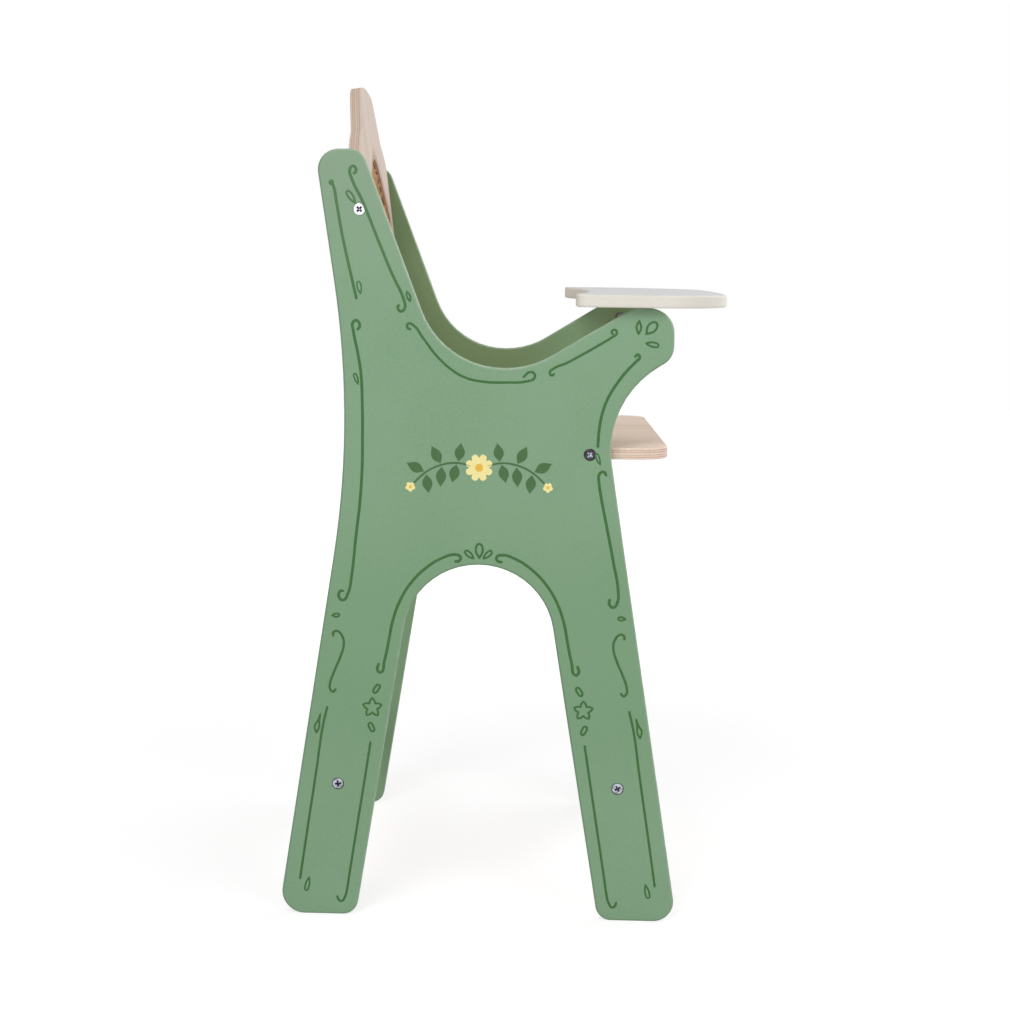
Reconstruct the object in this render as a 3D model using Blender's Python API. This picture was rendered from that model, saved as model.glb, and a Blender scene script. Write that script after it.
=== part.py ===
"""Doll high chair: two painted plywood side panels joined by a seat, a backrest, a tray and two cross rails.

Units are metres, +Z is up, and the chair faces -Y. The origin lies on the floor, under the middle of the chair.
Right and left are those of the doll that sits in the chair, so the right panel is at -X.
Places along Y are first counted from the axis of the arch between the legs. One empty then moves that axis
to its place, so that the origin is halfway between the tray's front and the rear feet.
"""

import math

import bmesh
import bpy
from mathutils import Matrix, Vector

for old_object in list(bpy.data.objects):
    bpy.data.objects.remove(old_object)

# Painted boards, plain boards and the room between the side panels
board = 0.008
plain_board = 0.0077
inside_width = 0.249
joint_gap = 0.0003
cut_overrun = 0.002

# Side panel: the legs, from the arch's axis to their lines on the floor
leg_outer_reach = 0.1328
leg_inner_reach = 0.0807
leg_outer_lean = math.radians(8.84)
leg_inner_lean = math.radians(9.17)
arch_height = 0.2387
rear_foot_round = 0.015
front_foot_round = 0.0135
foot_inner_round = 0.0105

# Side panel: the arm and the dip behind it
arm_top_height = 0.4052
arm_top_rear = 0.0971
arm_front = 0.1236
arm_nose_depth = 0.0313
arm_slope = math.radians(31.0)
arm_nose_round = 0.016
arm_chin_round = 0.013
arm_rear_round = 0.008
front_waist_round = 0.062
dip_height = 0.3666
dip_front_round = 0.059
dip_rear_round = 0.057

# Side panel: the post that carries the backrest
post_height = 0.5059
post_top_rear = 0.1061
post_top_width = 0.0299
post_front_lean = math.radians(20.56)
post_rear_lean = math.radians(8.29)
post_front_round = 0.0115
post_rear_round = 0.013
rear_waist_round = 0.594
panel_edge_round = 0.0011

# Seat
seat_top_height = 0.3152
seat_front = 0.1226
seat_corner_round = 0.018
seat_edge_round = 0.0008

# Backrest: its place, then heights along the board from its lower edge, which lies below the seat's top
back_recline = math.radians(7.0)
back_screw_rear = 0.0768
back_foot_drop = 0.0092
back_screw_rise = 0.1631
back_screw_offset = 0.0008
back_foot_round = 0.006
back_side_height = 0.1998
back_side_round = 0.012
shoulder_reach = 0.106
shoulder_height = 0.2093
shoulder_round = 0.100
notch_reach = 0.085
notch_height = 0.216
notch_round = 0.004
crown_reach = 0.050
crown_height = 0.2463
crown_round = 0.040
crown_peak = 0.2509
crown_peak_round = 0.350
back_edge_round = 0.0006
window_width = 0.190
window_bottom = 0.137
window_shoulder = 0.161
window_peak = 0.2096
window_peak_round = 0.070
window_corner_round = 0.014

# Tray
tray_slope = math.radians(0.8)
tray_overhang = 0.008
tray_rear = 0.061
tray_front = 0.1678
tray_corner_depth = 0.1568
tray_rear_round = 0.0065
tray_front_round = 0.060
tray_crown_round = 1.2
tray_scoop_width = 0.236
tray_scoop_peak = 0.0225
tray_scoop_round = 0.55
tray_scoop_end_round = 0.025
tray_edge_round = 0.0012

# Cross rails between the legs
rail_height = 0.0903
rail_width = 0.036
rail_edge_round = 0.0008

# Countersunk machine screws with a cross recess, and their barrel nuts
screw_head_radius = 0.0038
screw_head_rim = 0.0003
screw_shank_radius = 0.002
screw_length = 0.035
screw_tip_chamfer = 0.0005
nut_radius = 0.004
nut_length = 0.006
nut_chamfer = 0.0004
nut_setback = 0.020
hole_spare_depth = 0.003
seat_screw_front = 0.0711
tray_screw_length = 0.028
tray_screw_front = 0.1043
tray_nut_drop = 0.0144

# Wooden dowel pins that stop each board from turning about its screw
dowel_radius = 0.0025
dowel_length = 0.016
dowel_chamfer = 0.0006
dowel_panel_depth = 0.005
back_dowel_rise = 0.024
seat_dowel_rear = 0.028
rail_dowel_offset = 0.011

# Steps of the round forms, and angles that every part shares
quarter_turn = math.radians(90.0)
sharp_angle = math.radians(30.0)
outline_step = math.radians(7.5)
outline_chord = 0.012
screw_steps = 14
nut_steps = 12
dowel_steps = 8
hole_steps = 14
weld = 0.00001

# Places that follow from the sizes above
inner_face = inside_width / 2
outer_face = inner_face + board
seat_mid_height = seat_top_height - plain_board / 2
back_foot_height = seat_top_height - back_foot_drop
back_screw_height = back_foot_height + back_screw_rise * math.cos(back_recline)
rail_reach = (leg_outer_reach - rail_height * math.tan(leg_outer_lean)
              + leg_inner_reach - rail_height * math.tan(leg_inner_lean)) / 2
rail_lean = (leg_outer_lean + leg_inner_lean) / 2


def back_plane(height):
    """Distance behind the arch's axis of the backrest's middle plane at a height."""
    return back_screw_rear + (height - back_screw_height) * math.tan(back_recline)


def arm_top(reach):
    """Height of the arm's top at a distance in front of the arch's axis; it falls with the tray."""
    return arm_top_height - (reach - tray_screw_front) * math.tan(tray_slope)


# Outlines
def rounded_outline(corners):
    """Points of a closed outline from (x, y, radius) corners; no arc is longer than its edges allow."""
    count = len(corners)
    points = [Vector(corner[:2]) for corner in corners]
    turns = []
    reaches = []
    for index, point in enumerate(points):
        arriving = (point - points[index - 1]).normalized()
        leaving = (points[(index + 1) % count] - point).normalized()
        turn = arriving.angle_signed(leaving)
        turns.append(turn)
        reaches.append(corners[index][2] * math.tan(abs(turn) / 2))
    limits = list(reaches)
    for index in range(count):
        following = (index + 1) % count
        edge = (points[following] - points[index]).length
        asked = reaches[index] + reaches[following]
        if asked > edge:
            limits[index] = min(limits[index], reaches[index] * edge / asked)
            limits[following] = min(limits[following], reaches[following] * edge / asked)
    outline = []
    for index, point in enumerate(points):
        back = (points[index - 1] - point).normalized()
        ahead = (points[(index + 1) % count] - point).normalized()
        turn = abs(turns[index])
        radius = limits[index] / math.tan(turn / 2)
        middle = point + (back + ahead).normalized() * (radius / math.cos(turn / 2))
        start = point + back * limits[index] - middle
        steps = max(1, math.ceil(turn / outline_step), math.ceil(radius * turn / outline_chord))
        sweep = math.copysign(turn, -turns[index])
        for step in range(steps + 1):
            spoke = start.copy()
            spoke.rotate(Matrix.Rotation(sweep * step / steps, 2))
            place = middle + spoke
            if not outline or (place - outline[-1]).length > weld:
                outline.append(place)
    if (outline[0] - outline[-1]).length <= weld:
        outline.pop()
    return outline


# Materials
def paint(name, colour, roughness, metallic):
    """A Principled material with one colour."""
    material = bpy.data.materials.new(name)
    material.use_nodes = True
    shader = material.node_tree.nodes["Principled BSDF"]
    shader.inputs["Base Color"].default_value = (*colour, 1.0)
    shader.inputs["Roughness"].default_value = roughness
    shader.inputs["Metallic"].default_value = metallic
    return material


green_paint = paint("green_paint", (0.22, 0.36, 0.22), 0.45, 0.0)
cream_paint = paint("cream_paint", (0.78, 0.76, 0.70), 0.4, 0.0)
birch_plywood = paint("birch_plywood", (0.62, 0.49, 0.40), 0.6, 0.0)
beech_dowel = paint("beech_dowel", (0.58, 0.42, 0.27), 0.6, 0.0)
zinc_steel = paint("zinc_steel", (0.55, 0.56, 0.58), 0.3, 1.0)

# The empty that carries the arch's axis
chair_axis = bpy.data.objects.new("chair_axis", None)
bpy.context.collection.objects.link(chair_axis)


# Building blocks
def place(name, mesh, material, location, rotation):
    """Adds an object on the chair's axis."""
    added = bpy.data.objects.new(name, mesh)
    if material and not mesh.materials:
        mesh.materials.append(material)
    bpy.context.collection.objects.link(added)
    added.parent = chair_axis
    added.location = location
    added.rotation_euler = rotation
    return added


def finished_mesh(name, form):
    """Turns a bmesh into a mesh that is smooth over its round faces and sharp at its corners."""
    bmesh.ops.recalc_face_normals(form, faces=form.faces)
    mesh = bpy.data.meshes.new(name)
    form.to_mesh(mesh)
    form.free()
    mesh.shade_smooth()
    mesh.set_sharp_from_angle(angle=sharp_angle)
    return mesh


def sawn_board(name, outline, thickness, edge_round):
    """A flat board with this outline, centred on its middle plane, with both rims rounded."""
    form = bmesh.new()
    corners = [form.verts.new((point.x, point.y, -thickness / 2)) for point in outline]
    face = form.faces.new(corners)
    raised = bmesh.ops.extrude_face_region(form, geom=[face])
    lifted = [item for item in raised["geom"] if isinstance(item, bmesh.types.BMVert)]
    bmesh.ops.translate(form, verts=lifted, vec=(0, 0, thickness))
    if edge_round > 0:
        rims = [edge for edge in form.edges if abs(edge.verts[0].co.z - edge.verts[1].co.z) < weld]
        bmesh.ops.bevel(form, geom=rims, offset=edge_round, offset_type="OFFSET", affect="EDGES",
                        segments=2, profile=0.5, material=-1, clamp_overlap=True)
    return finished_mesh(name, form)


def turn(form, profile, steps, placement):
    """Adds a turned solid to the form: (radius, height) points from end to end about the placement's Z."""
    known = set(form.verts)
    line = [form.verts.new((radius, 0, height)) for radius, height in profile]
    edges = [form.edges.new(pair) for pair in zip(line, line[1:])]
    bmesh.ops.spin(form, geom=line + edges, axis=(0, 0, 1), cent=(0, 0, 0), angle=math.tau,
                   steps=steps, use_merge=True)
    added = [vert for vert in form.verts if vert not in known]
    bmesh.ops.remove_doubles(form, verts=added, dist=weld)
    added = [vert for vert in form.verts if vert not in known]
    bmesh.ops.transform(form, matrix=placement, verts=added)


def rod_profile(radius, low, high):
    """Profile of a plain cylinder."""
    return [(0, low), (radius, low), (radius, high), (0, high)]


def chamfered_profile(radius, chamfer, low, high):
    """Profile of a cylinder with both ends chamfered."""
    return [(0, low), (radius - chamfer, low), (radius, low + chamfer),
            (radius, high - chamfer), (radius - chamfer, high), (0, high)]


def screw_profile(length):
    """Profile of a countersunk screw: its head's top is at 0 and its shank runs down."""
    neck = -screw_head_rim - (screw_head_radius - screw_shank_radius)
    return [(0, -length), (screw_shank_radius - screw_tip_chamfer, -length),
            (screw_shank_radius, -length + screw_tip_chamfer), (screw_shank_radius, neck),
            (screw_head_radius, -screw_head_rim), (screw_head_radius, 0), (0, 0)]


def countersink_profile(depth):
    """Profile of the hole for that screw, wider by the gap and open past the board's face."""
    head = screw_head_radius + joint_gap
    shank = screw_shank_radius + joint_gap
    rim = -screw_head_rim - joint_gap / 2
    return [(0, -depth), (shank, -depth), (shank, rim - (head - shank)), (head, rim), (head, cut_overrun),
            (0, cut_overrun)]


def axis_placement(origin, direction):
    """Placement that turns +Z to a direction and moves it to an origin."""
    return Matrix.Translation(origin) @ Vector(direction).to_track_quat("Z", "Y").to_matrix().to_4x4()


def cut(target, name, holes):
    """Cuts turned holes, given as (profile, placement) in the target's own frame, out of a board."""
    form = bmesh.new()
    for profile, placement in holes:
        turn(form, profile, hole_steps, placement)
    cutter = bpy.data.objects.new(name, finished_mesh(name, form))
    bpy.context.collection.objects.link(cutter)
    cutter.parent = target
    cutter.hide_render = True
    cutter.display_type = "WIRE"
    step = target.modifiers.new(name, "BOOLEAN")
    step.operation = "DIFFERENCE"
    step.solver = "EXACT"
    step.object = cutter
    return cutter


# Hardware shared by its copies
def screw_mesh(name, length):
    """A countersunk screw whose head faces +Z."""
    form = bmesh.new()
    turn(form, screw_profile(length), screw_steps, Matrix.Identity(4))
    return finished_mesh(name, form)


def dowel_mesh():
    """A dowel pin along Z, from 0 up."""
    form = bmesh.new()
    turn(form, chamfered_profile(dowel_radius, dowel_chamfer, 0, dowel_length), dowel_steps, Matrix.Identity(4))
    return finished_mesh("dowel", form)


def nut_mesh():
    """A barrel nut along Z, bored across along X for the screw."""
    form = bmesh.new()
    half = nut_length / 2
    turn(form, chamfered_profile(nut_radius, nut_chamfer, -half, half), nut_steps, Matrix.Identity(4))
    blank = bpy.data.objects.new("nut_blank", finished_mesh("nut_blank", form))
    bpy.context.collection.objects.link(blank)
    reach = nut_radius + cut_overrun
    across = axis_placement((0, 0, 0), (1, 0, 0))
    cutter = cut(blank, "nut_bore", [(rod_profile(screw_shank_radius + joint_gap, -reach, reach), across)])
    bpy.context.view_layer.update()
    graph = bpy.context.evaluated_depsgraph_get()
    mesh = bpy.data.meshes.new_from_object(blank.evaluated_get(graph))
    mesh.name = "barrel_nut"
    bpy.data.objects.remove(cutter)
    bpy.data.objects.remove(blank)
    return mesh


long_screw = screw_mesh("long_screw", screw_length)
short_screw = screw_mesh("short_screw", tray_screw_length)
dowel = dowel_mesh()
barrel_nut = nut_mesh()
screw_inset = joint_gap
dowel_board_depth = dowel_length - dowel_panel_depth
nut_hole_depth = (board + nut_length) / 2 + joint_gap
plain_nut_hole_depth = (plain_board + nut_length) / 2 + joint_gap


def side_screw(name, side, reach, height):
    """A screw through a side panel, at side -1 (right) or +1 (left), with its head in the outer face."""
    turned_out = side * quarter_turn
    head = (side * (outer_face - screw_inset), reach, height)
    return place(name, long_screw, zinc_steel, head, (0, turned_out, 0))


def side_dowel(name, side, reach, height):
    """A dowel pin between a side panel and the board that it holds."""
    start = side * (inner_face - joint_gap - dowel_board_depth)
    return place(name, dowel, beech_dowel, (start, reach, height), (0, side * quarter_turn, 0))


# Side panels
def panel_outline():
    """Outline of a side panel, as (distance behind the arch's axis, height)."""
    arch_half = leg_inner_reach - arch_height * math.tan(leg_inner_lean)
    arch_round = arch_half * math.tan((quarter_turn + leg_inner_lean) / 2)
    chin_height = arm_top(arm_front) - arm_nose_depth
    rise = math.tan(arm_slope)
    run = math.tan(leg_outer_lean)
    waist_height = (chin_height + rise * (leg_outer_reach - arm_front)) / (1 + rise * run)
    waist_front = leg_outer_reach - waist_height * run
    dip_front = arm_top_rear - (arm_top(arm_top_rear) - dip_height) / rise
    dip_rear = post_top_rear - post_top_width - (post_height - dip_height) * math.tan(post_front_lean)
    post_run = math.tan(post_rear_lean)
    rear_waist_height = (leg_outer_reach - post_top_rear + post_height * post_run) / (run + post_run)
    rear_waist = leg_outer_reach - rear_waist_height * run
    return rounded_outline([
        (leg_inner_reach, 0, foot_inner_round),
        (arch_half, arch_height, arch_round),
        (-arch_half, arch_height, arch_round),
        (-leg_inner_reach, 0, foot_inner_round),
        (-leg_outer_reach, 0, front_foot_round),
        (-waist_front, waist_height, front_waist_round),
        (-arm_front, chin_height, arm_chin_round),
        (-arm_front, arm_top(arm_front), arm_nose_round),
        (-arm_top_rear, arm_top(arm_top_rear), arm_rear_round),
        (-dip_front, dip_height, dip_front_round),
        (dip_rear, dip_height, dip_rear_round),
        (post_top_rear - post_top_width, post_height, post_front_round),
        (post_top_rear, post_height, post_rear_round),
        (rear_waist, rear_waist_height, rear_waist_round),
        (leg_outer_reach, 0, rear_foot_round),
    ])


def screw_places():
    """Board, distance behind the arch's axis, height and lean of that board, for each screw of a side panel."""
    return [
        ("backrest", back_plane(back_screw_height) + back_screw_offset * math.cos(back_recline),
         back_screw_height - back_screw_offset * math.sin(back_recline), quarter_turn - back_recline),
        ("seat", -seat_screw_front, seat_mid_height, 0),
        ("rear_rail", rail_reach, rail_height, quarter_turn + rail_lean),
        ("front_rail", -rail_reach, rail_height, quarter_turn - rail_lean),
    ]


def dowel_places():
    """Names, distances behind the arch's axis and heights of the dowel pins in each side panel."""
    back_height = back_foot_height + back_dowel_rise * math.cos(back_recline)
    rise = rail_dowel_offset * math.cos(rail_lean)
    run = rail_dowel_offset * math.sin(rail_lean)
    return [
        ("backrest", back_plane(back_height), back_height),
        ("seat", seat_dowel_rear, seat_mid_height),
        ("rear_rail_upper", rail_reach - run, rail_height + rise),
        ("rear_rail_lower", rail_reach + run, rail_height - rise),
        ("front_rail_upper", run - rail_reach, rail_height + rise),
        ("front_rail_lower", -rail_reach - run, rail_height - rise),
    ]


def tray_screw_axis():
    """Direction of the tray's screws, square to the tray, in the panel's own outline plane."""
    return Vector((-math.sin(tray_slope), math.cos(tray_slope), 0))


def build_panel(name, side):
    """One side panel with its countersunk holes, dowel holes and the bores for the tray's screw and nut."""
    mesh = sawn_board(name, panel_outline(), board, panel_edge_round)
    panel = place(name, mesh, green_paint, (side * (inside_width + board) / 2, 0, 0),
                  (quarter_turn, 0, quarter_turn))
    outside = side * board / 2
    holes = []
    for _, reach, height, _ in screw_places():
        seat = axis_placement((reach, height, outside - side * screw_inset), (0, 0, side))
        holes.append((countersink_profile(board + cut_overrun), seat))
    for _, reach, height in dowel_places():
        mouth = axis_placement((reach, height, -outside), (0, 0, -side))
        depth = dowel_panel_depth + joint_gap
        holes.append((rod_profile(dowel_radius + joint_gap, -depth, cut_overrun), mouth))
    axis = tray_screw_axis()
    top = Vector((-tray_screw_front, arm_top(tray_screw_front), 0))
    nut = top - axis * tray_nut_drop
    nut_mouth = axis_placement((nut.x, nut.y, -outside), (0, 0, -side))
    holes.append((rod_profile(nut_radius + joint_gap, -nut_hole_depth, cut_overrun), nut_mouth))
    cut(panel, name + "_holes", holes)
    depth = tray_screw_length - board + hole_spare_depth
    shaft = (rod_profile(screw_shank_radius + joint_gap, -depth, cut_overrun), axis_placement(top, axis))
    cut(panel, name + "_arm_bore", [shaft])
    return panel


# Seat
def build_seat():
    """The seat board, with its screw bores from the sides, nut holes from below and dowel holes."""
    half = inner_face - joint_gap
    rear = back_plane(seat_top_height - plain_board) - plain_board / 2 / math.cos(back_recline) - joint_gap
    outline = rounded_outline([
        (-half, -seat_front, seat_corner_round),
        (half, -seat_front, seat_corner_round),
        (half, rear, back_foot_round),
        (-half, rear, back_foot_round),
    ])
    seat = place("seat", sawn_board("seat", outline, plain_board, seat_edge_round), birch_plywood,
                 (0, 0, seat_mid_height), (0, 0, 0))
    bores = []
    pockets = []
    for side in (-1, 1):
        edge = side * half
        bore_depth = screw_length - board + hole_spare_depth
        bores.append((rod_profile(screw_shank_radius + joint_gap, -bore_depth, cut_overrun),
                      axis_placement((edge, -seat_screw_front, 0), (side, 0, 0))))
        nut_mouth = (edge - side * nut_setback, -seat_screw_front, -plain_board / 2)
        pockets.append((rod_profile(nut_radius + joint_gap, -plain_nut_hole_depth, cut_overrun),
                        axis_placement(nut_mouth, (0, 0, -1))))
        pockets.append((rod_profile(dowel_radius + joint_gap, -dowel_board_depth - joint_gap, cut_overrun),
                        axis_placement((edge, seat_dowel_rear, 0), (side, 0, 0))))
    cut(seat, "seat_bores", bores)
    cut(seat, "seat_pockets", pockets)
    return seat


# Backrest
def back_outline():
    """Outline of the backrest, as (across, along the board): a crown that rises between two shoulders."""
    half = inner_face - joint_gap
    return rounded_outline([
        (-half, 0, back_foot_round),
        (half, 0, back_foot_round),
        (half, back_side_height, back_side_round),
        (shoulder_reach, shoulder_height, shoulder_round),
        (notch_reach, notch_height, notch_round),
        (crown_reach, crown_height, crown_round),
        (0, crown_peak, crown_peak_round),
        (-crown_reach, crown_height, crown_round),
        (-notch_reach, notch_height, notch_round),
        (-shoulder_reach, shoulder_height, shoulder_round),
        (-half, back_side_height, back_side_round),
    ])


def window_outline():
    """Outline of the opening in the backrest: a rounded peak over two upright sides."""
    half = window_width / 2
    return rounded_outline([
        (-half, window_bottom, window_corner_round),
        (half, window_bottom, window_corner_round),
        (half, window_shoulder, window_corner_round),
        (0, window_peak, window_peak_round),
        (-half, window_shoulder, window_corner_round),
    ])


def build_backrest():
    """The reclined backrest with its window, screw bores, nut holes from behind and dowel holes."""
    mesh = sawn_board("backrest", back_outline(), plain_board, back_edge_round)
    back = place("backrest", mesh, birch_plywood, (0, back_plane(back_foot_height), back_foot_height),
                 (quarter_turn - back_recline, 0, 0))
    blank = sawn_board("backrest_window", window_outline(), plain_board + 2 * cut_overrun, 0)
    window = bpy.data.objects.new("backrest_window", blank)
    bpy.context.collection.objects.link(window)
    window.parent = back
    window.hide_render = True
    window.display_type = "WIRE"
    opening = back.modifiers.new("backrest_window", "BOOLEAN")
    opening.operation = "DIFFERENCE"
    opening.solver = "EXACT"
    opening.object = window
    bores = []
    pockets = []
    for side in (-1, 1):
        edge = side * (inner_face - joint_gap)
        bore_depth = screw_length - board + hole_spare_depth
        bores.append((rod_profile(screw_shank_radius + joint_gap, -bore_depth, cut_overrun),
                      axis_placement((edge, back_screw_rise, -back_screw_offset), (side, 0, 0))))
        nut_mouth = (edge - side * nut_setback, back_screw_rise, -plain_board / 2)
        nut_depth = plain_nut_hole_depth - back_screw_offset
        pockets.append((rod_profile(nut_radius + joint_gap, -nut_depth, cut_overrun),
                        axis_placement(nut_mouth, (0, 0, -1))))
        pockets.append((rod_profile(dowel_radius + joint_gap, -dowel_board_depth - joint_gap, cut_overrun),
                        axis_placement((edge, back_dowel_rise, 0), (side, 0, 0))))
    cut(back, "backrest_bores", bores)
    cut(back, "backrest_pockets", pockets)
    return back


# Tray
def tray_outline():
    """Outline of the tray: wide round front corners, and a shallow scoop at the rear for the doll's body."""
    half = outer_face + tray_overhang
    scoop = tray_scoop_width / 2
    return rounded_outline([
        (half, -tray_rear, tray_rear_round),
        (scoop, -tray_rear, tray_scoop_end_round),
        (0, -tray_rear - tray_scoop_peak, tray_scoop_round),
        (-scoop, -tray_rear, tray_scoop_end_round),
        (-half, -tray_rear, tray_rear_round),
        (-half, -tray_corner_depth, tray_front_round),
        (0, -tray_front, tray_crown_round),
        (half, -tray_corner_depth, tray_front_round),
    ])


def build_tray():
    """The tray with two countersunk holes; it lies on the arms and falls a little to the front."""
    axis = Vector((0, -math.sin(tray_slope), math.cos(tray_slope)))
    seat_point = Vector((0, -tray_screw_front, arm_top(tray_screw_front)))
    middle = seat_point + axis * (joint_gap + board / 2)
    mesh = sawn_board("tray", [Vector((point.x, point.y + tray_screw_front)) for point in tray_outline()],
                      board, tray_edge_round)
    tray = place("tray", mesh, cream_paint, middle, (tray_slope, 0, 0))
    holes = []
    for side in (-1, 1):
        head = axis_placement((side * (inside_width + board) / 2, 0, board / 2 - screw_inset), (0, 0, 1))
        holes.append((countersink_profile(board + cut_overrun), head))
    cut(tray, "tray_holes", holes)
    return middle, axis


# Cross rails
def build_rail(name, direction):
    """A cross rail that leans with its legs; direction is +1 for the rear legs and -1 for the front ones."""
    half = inner_face - joint_gap
    outline = rounded_outline([
        (-half, -rail_width / 2, 0),
        (half, -rail_width / 2, 0),
        (half, rail_width / 2, 0),
        (-half, rail_width / 2, 0),
    ])
    lean = quarter_turn + direction * rail_lean
    rail = place(name, sawn_board(name, outline, plain_board, rail_edge_round), birch_plywood,
                 (0, direction * rail_reach, rail_height), (lean, 0, 0))
    bores = []
    pockets = []
    for side in (-1, 1):
        edge = side * half
        bore_depth = screw_length - board + hole_spare_depth
        bores.append((rod_profile(screw_shank_radius + joint_gap, -bore_depth, cut_overrun),
                      axis_placement((edge, 0, 0), (side, 0, 0))))
        inward = direction * plain_board / 2
        pockets.append((rod_profile(nut_radius + joint_gap, -plain_nut_hole_depth, cut_overrun),
                        axis_placement((edge - side * nut_setback, 0, inward), (0, 0, direction))))
        for offset in (-rail_dowel_offset, rail_dowel_offset):
            pockets.append((rod_profile(dowel_radius + joint_gap, -dowel_board_depth - joint_gap, cut_overrun),
                            axis_placement((edge, offset, 0), (side, 0, 0))))
    cut(rail, name + "_bores", bores)
    cut(rail, name + "_pockets", pockets)
    return rail


# Assembly
sides = (("right", -1), ("left", 1))
for side_name, side in sides:
    build_panel("side_panel_" + side_name, side)
build_seat()
build_backrest()
tray_middle, tray_axis = build_tray()
build_rail("rear_rail", 1)
build_rail("front_rail", -1)

nut_column = inner_face - joint_gap - nut_setback
for side_name, side in sides:
    # Each screw has a nut across its board, with the bore of the nut round the screw
    for part_name, reach, height, lean in screw_places():
        side_screw(part_name + "_screw_" + side_name, side, reach, height)
        nut = (side * nut_column, reach, height)
        place(part_name + "_nut_" + side_name, barrel_nut, zinc_steel, nut, (lean, 0, 0))
    for part_name, reach, height in dowel_places():
        side_dowel(part_name + "_dowel_" + side_name, side, reach, height)

    # The tray's screw drops through the tray into the nut in the arm
    column = side * (inside_width + board) / 2
    head = Vector((column, tray_middle.y, tray_middle.z)) + tray_axis * (board / 2 - screw_inset)
    place("tray_screw_" + side_name, short_screw, zinc_steel, head, (tray_slope, 0, 0))
    arm_point = Vector((0, -tray_screw_front, arm_top(tray_screw_front))) - tray_axis * tray_nut_drop
    tray_nut = (column, arm_point.y, arm_point.z)
    lying = Matrix.Rotation(tray_slope, 3, "X") @ Matrix.Rotation(quarter_turn, 3, "Y")
    place("tray_nut_" + side_name, barrel_nut, zinc_steel, tray_nut, lying.to_euler())

# The origin lies halfway between the tray's front and the rear feet
rear_end = max(point.x for point in panel_outline())
front_end = max(-point.y for point in tray_outline())
chair_axis.location.y = (front_end - rear_end) / 2
bpy.context.view_layer.update()
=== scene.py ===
import bmesh
import bpy
import math
from mathutils import Matrix, Vector


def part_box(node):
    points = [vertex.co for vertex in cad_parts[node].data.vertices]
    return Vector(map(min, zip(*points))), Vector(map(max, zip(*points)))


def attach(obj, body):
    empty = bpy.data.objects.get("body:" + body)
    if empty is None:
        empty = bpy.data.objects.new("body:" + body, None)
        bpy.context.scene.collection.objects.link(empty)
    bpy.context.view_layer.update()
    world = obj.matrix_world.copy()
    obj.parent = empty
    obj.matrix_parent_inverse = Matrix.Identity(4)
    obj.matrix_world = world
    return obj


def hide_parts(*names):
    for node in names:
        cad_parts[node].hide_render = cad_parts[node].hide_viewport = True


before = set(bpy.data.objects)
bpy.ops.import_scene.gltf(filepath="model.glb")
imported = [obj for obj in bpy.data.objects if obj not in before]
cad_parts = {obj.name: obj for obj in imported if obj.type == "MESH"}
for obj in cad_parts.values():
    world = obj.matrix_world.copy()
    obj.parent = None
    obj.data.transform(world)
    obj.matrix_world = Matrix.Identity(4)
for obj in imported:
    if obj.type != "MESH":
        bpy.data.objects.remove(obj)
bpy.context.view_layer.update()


# Camera
# A 66 mm lens 1.2 m out from the right side panel and a little higher than the tray, that looks
# across the chair and slightly down. Its frame is shifted sideways to take in the whole chair.
camera_data = bpy.data.cameras.new("camera")
camera_data.sensor_width = 36.0
camera_data.lens = 65.94
camera_data.shift_x = 0.1203
camera_data.clip_start = 0.05
camera_data.clip_end = 50.0
camera = bpy.data.objects.new("camera", camera_data)
camera_place = (-1.3226, -0.0035, 0.4389)
camera_turn = Matrix(((0.0692, 0.1337, -0.9886), (-0.9976, 0.0093, -0.0686), (0.0, 0.9910, 0.1340)))
camera.matrix_world = Matrix.Translation(camera_place) @ camera_turn.to_4x4()
bpy.context.scene.collection.objects.link(camera)
bpy.context.scene.camera = camera
bpy.context.scene.view_settings.view_transform = "Standard"


# Floor, sky and lamps
# A white floor that runs into a white sky without a seam, lit by three large soft lamps: two
# beside the right panel and one in front of the left one. It shows white and keeps faint shadows.
class Wire:
    """One socket of a node tree. Arithmetic on it adds Math nodes, node() adds any other."""

    def __init__(self, socket):
        self.socket = socket

    def node(self, kind, settings, inputs, output=0):
        tree = self.socket.id_data
        made = tree.nodes.new(kind)
        for name, value in settings.items():
            setattr(made, name, value)
        for name, value in inputs.items():
            if isinstance(value, Wire):
                tree.links.new(value.socket, made.inputs[name])
            else:
                made.inputs[name].default_value = value
        return Wire(made.outputs[output])

    def maths(self, operation, first, second):
        return self.node("ShaderNodeMath", {"operation": operation}, {0: first, 1: second})

    def __add__(self, other):
        return self.maths("ADD", self, other)

    __radd__ = __add__

    def __mul__(self, other):
        return self.maths("MULTIPLY", self, other)

    __rmul__ = __mul__

    def __sub__(self, other):
        return self.maths("SUBTRACT", self, other)

    def __rsub__(self, other):
        return self.maths("SUBTRACT", other, self)

    def __truediv__(self, other):
        return self.maths("DIVIDE", self, other)

    def __abs__(self):
        return self.maths("ABSOLUTE", self, 0.0)

    def between(self, low, high):
        """Rises smoothly from 0 at low to 1 at high."""
        return self.node("ShaderNodeMapRange", {"interpolation_type": "SMOOTHSTEP"},
                         {"Value": self, "From Min": low, "From Max": high})

    def part(self, index):
        """The vector's X, Y or Z."""
        return self.node("ShaderNodeSeparateXYZ", {}, {0: self}, index)

    def scaled(self, scale):
        """The vector with its three parts scaled."""
        return self.node("ShaderNodeMapping", {"vector_type": "POINT"}, {"Vector": self, "Scale": scale})


def watched(wire):
    """1 for rays from the camera and from mirroring surfaces, else 0."""
    straight = wire.node("ShaderNodeLightPath", {}, {}, "Is Camera Ray")
    mirrored = wire.node("ShaderNodeLightPath", {}, {}, "Is Glossy Ray")
    return wire.maths("MAXIMUM", straight, mirrored)


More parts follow.
